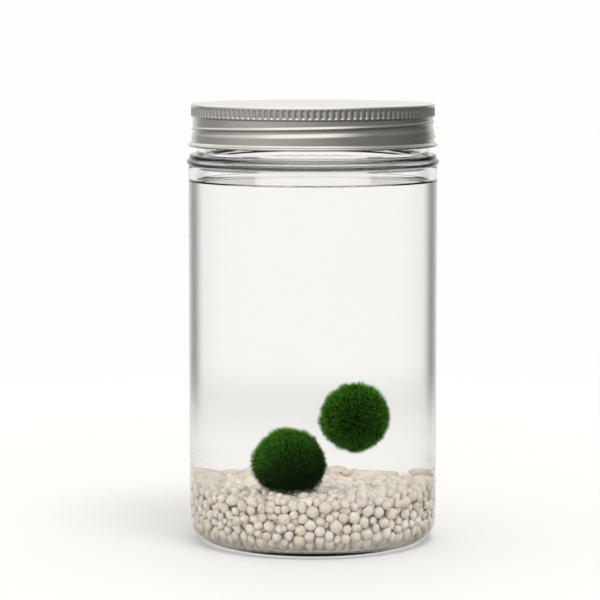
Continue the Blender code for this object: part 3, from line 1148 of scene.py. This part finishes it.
class MARIMO_OT_moss(bpy.types.Operator):
    """Grow both moss balls: a dark core under a coat of fibres"""

    bl_idname = "marimo.grow_moss"
    bl_label = "Grow moss balls"

    def execute(self, context):
        moss = context.scene.marimo_moss
        coat = moss.fibre_length * COAT_SHARE
        resting_centre = ((RESTING_LOW.x + RESTING_HIGH.x) / 2, (RESTING_LOW.y + RESTING_HIGH.y) / 2,
                          RESTING_HIGH.z - RESTING_CROWN)
        resting = resting_outline((RESTING_HIGH.x - RESTING_LOW.x) / 2 - coat, coat)
        wide = (FLOATING_HIGH.x - FLOATING_LOW.x) / 2 - coat
        tall = (FLOATING_HIGH.z - FLOATING_LOW.z) / 2 - coat
        floating = arc((0.0, 0.0), (wide, tall), 90, -90, 32)
        floating[0], floating[-1] = (0.0, tall), (0.0, -tall)
        balls = (
            # The last number is how much darker, as painted shade, the tips of down-facing fibres are.
            ("resting", resting_centre, resting, RESTING_LOW.z + FOOT_CLEARANCE, 1.0),
            ("floating", tuple((FLOATING_LOW + FLOATING_HIGH) / 2), floating, 0.0, 0.45),
        )
        material = green_moss(tuple(moss.root), tuple(moss.tip))
        for seed, (name, centre, outline, foot_z, painted_shade_share) in enumerate(balls, moss.seed):
            core = mark_growth(lumpy_core(name + "_core", centre, outline, seed), foot_z)
            area = sum(face.area for face in core.polygons)
            shop = fibre_shop(name + "_fibres", moss, material, seed, area, painted_shade_share)
            piece = add_piece(name + "_moss", shop.run_on(name + "_moss", core))
            hand_over(piece, "filled_jar", "green_moss", name + "_moss_ball")
        return {"FINISHED"}


# The stage

ROOM_COLOUR = (0.985, 0.985, 0.97)
FLOOR_RADIUS, FLOOR_STEPS, FLOOR_DROP = 0.9, 96, 0.02 * MM
SOFTBOX_AT, SOFTBOX_AIM, SOFTBOX_WIDTH = (0.32, -0.50, 1.60), (0.0, 0.0, 0.05), 0.6


def studio_room(stage):
    """A soft room in three versions: what lights matte surfaces, what gloss reflects, and what is seen
    through the glass. The first is the brightest, as with lamps kept out of the reflections."""
    world = bpy.data.worlds.new("studio_room")
    world.use_nodes = True
    bench = Bench(world.node_tree)
    x, y, z = bench.split(bench.node("ShaderNodeTexCoord")["Generated"])
    path = bench.node("ShaderNodeLightPath")
    # Lamps: brighter on the left than on the right, and bright above
    lamps = x.ease(-0.9, 0.9, stage.left_lamp, stage.right_lamp)
    lamps = lamps + z.ease(0.0, 0.8) * (stage.top_lamp - lamps)
    # Gloss: bright at the left, pale behind, bright above but dim towards the right, and dim below
    gloss = x.ease(-0.8, 0.95, stage.left_level, stage.right_level) * y.ease(-0.5, 0.4, 1.0, 0.62)
    gloss = gloss + y.ease(0.70, 0.97) * (0.85 - gloss)
    above = x.ease(0.15, 0.80, stage.top_level, stage.top_level * 0.15) * x.ease(-0.9, -0.5, 0.6, 1.0)
    gloss = (gloss + z.ease(0.16, 0.50) * (above - gloss)) * z.ease(-0.70, -0.15, 0.45, 1.0)
    # Behind the glass: white, with four upright dark flags that draw the jar's edges
    size_x, size_z = x.size(), z.size()
    flags = size_x.ease(0.60, 0.80) * size_x.ease(0.86, 0.96, 1.0, 0.0) * size_z.ease(0.12, 0.30, 1.0, 0.0)
    behind = (1.0 - flags * (1.0 - stage.side_level)) * size_z.ease(0.35, 0.95, 1.0, 0.6)
    through = path["Transmission Depth"].at_most(1.0)
    camera = path["Is Camera Ray"]
    seen = behind * through + gloss * (1.0 - through)
    seen = seen + camera * (1.0 - seen)
    before_matte = path["Diffuse Depth"].ease(0.0, 1.0, 1.0, 0.0)
    special = (path["Is Glossy Ray"] + through + camera).at_most(1.0) * before_matte
    level = lamps + special * (seen - lamps)
    glow = bench.node("ShaderNodeBackground", None, {"Color": ROOM_COLOUR, "Strength": level})
    bench.node("ShaderNodeOutputWorld", None, {"Surface": glow})
    return world


def aim_at(thing, place, aim):
    """Stands a lamp or camera at a place and points it at another."""
    thing.location = place
    thing.rotation_euler = (Vector(aim) - Vector(place)).to_track_quat("-Z", "Y").to_euler()


def add_softbox(name, place, aim, width, power):
    """A round soft lamp that isn't seen in gloss."""
    light = bpy.data.lights.new(name, "AREA")
    light.shape = "DISK"
    light.size = width
    light.energy = power
    lamp = bpy.data.objects.new(name, light)
    bpy.context.scene.collection.objects.link(lamp)
    lamp.visible_glossy = False
    aim_at(lamp, place, aim)


def add_camera(stage):
    lens = bpy.data.cameras.new("studio_camera")
    lens.sensor_width = 36.0
    lens.lens = stage.lens
    lens.clip_start, lens.clip_end = 0.01, 20.0
    camera = bpy.data.objects.new("studio_camera", lens)
    bpy.context.scene.collection.objects.link(camera)
    aim_at(camera, stage.camera_at, stage.camera_aim)
    bpy.context.scene.camera = camera


class MARIMO_OT_stage(bpy.types.Operator):
    """Set the pale floor, the soft light and the camera"""

    bl_idname = "marimo.set_stage"
    bl_label = "Set stage"

    def execute(self, context):
        scene = context.scene
        stage = scene.marimo_stage
        angles = [TAU * i / FLOOR_STEPS for i in range(FLOOR_STEPS)]
        corners = [(FLOOR_RADIUS * math.cos(a), FLOOR_RADIUS * math.sin(a), -FLOOR_DROP) for a in angles]
        floor = bpy.data.meshes.new("studio_floor")
        floor.from_pydata(corners, [], [tuple(range(FLOOR_STEPS))])
        table = add_piece("studio_floor", floor, pale_floor(tuple(stage.floor_colour)))
        table.visible_glossy = False
        scene.world = studio_room(stage)
        add_softbox("high_softbox", SOFTBOX_AT, SOFTBOX_AIM, SOFTBOX_WIDTH, stage.softbox)
        add_camera(stage)
        scene.view_settings.view_transform = "Standard"
        return {"FINISHED"}


class MARIMO_PT_panel(bpy.types.Panel):
    """Sizes, colours and build steps of the jar"""

    bl_idname = "MARIMO_PT_panel"
    bl_label = "Marimo jar"
    bl_space_type = "VIEW_3D"
    bl_region_type = "UI"
    bl_category = "Marimo jar"

    def draw(self, context):
        layout = self.layout
        for name, group in GROUPS.items():
            box = layout.box()
            box.label(text=name.replace("marimo_", "").capitalize())
            settings = getattr(context.scene, name)
            for prop in group.__annotations__:
                box.prop(settings, prop)
        for step in STEPS:
            layout.operator(step.bl_idname)


GROUPS = {
    "marimo_jar": MARIMO_PG_jar,
    "marimo_water": MARIMO_PG_water,
    "marimo_cap": MARIMO_PG_cap,
    "marimo_gravel": MARIMO_PG_gravel,
    "marimo_moss": MARIMO_PG_moss,
    "marimo_stage": MARIMO_PG_stage,
}
STEPS = (MARIMO_OT_stage, MARIMO_OT_jar, MARIMO_OT_water, MARIMO_OT_cap, MARIMO_OT_liner,
         MARIMO_OT_gravel, MARIMO_OT_moss)


def register():
    for group in GROUPS.values():
        bpy.utils.register_class(group)
    for step in STEPS:
        bpy.utils.register_class(step)
    bpy.utils.register_class(MARIMO_PT_panel)
    for name, group in GROUPS.items():
        setattr(bpy.types.Scene, name, bpy.props.PointerProperty(type=group))


def unregister():
    for name in GROUPS:
        delattr(bpy.types.Scene, name)
    bpy.utils.unregister_class(MARIMO_PT_panel)
    for step in reversed(STEPS):
        bpy.utils.unregister_class(step)
    for group in reversed(GROUPS.values()):
        bpy.utils.unregister_class(group)


def main():
    register()
    bpy.ops.marimo.set_stage()
    bpy.ops.marimo.make_jar()
    bpy.ops.marimo.fill_water()
    bpy.ops.marimo.make_cap()
    bpy.ops.marimo.finish_liner()
    bpy.ops.marimo.pour_gravel()
    bpy.ops.marimo.grow_moss()


if __name__ == "__main__":
    main()
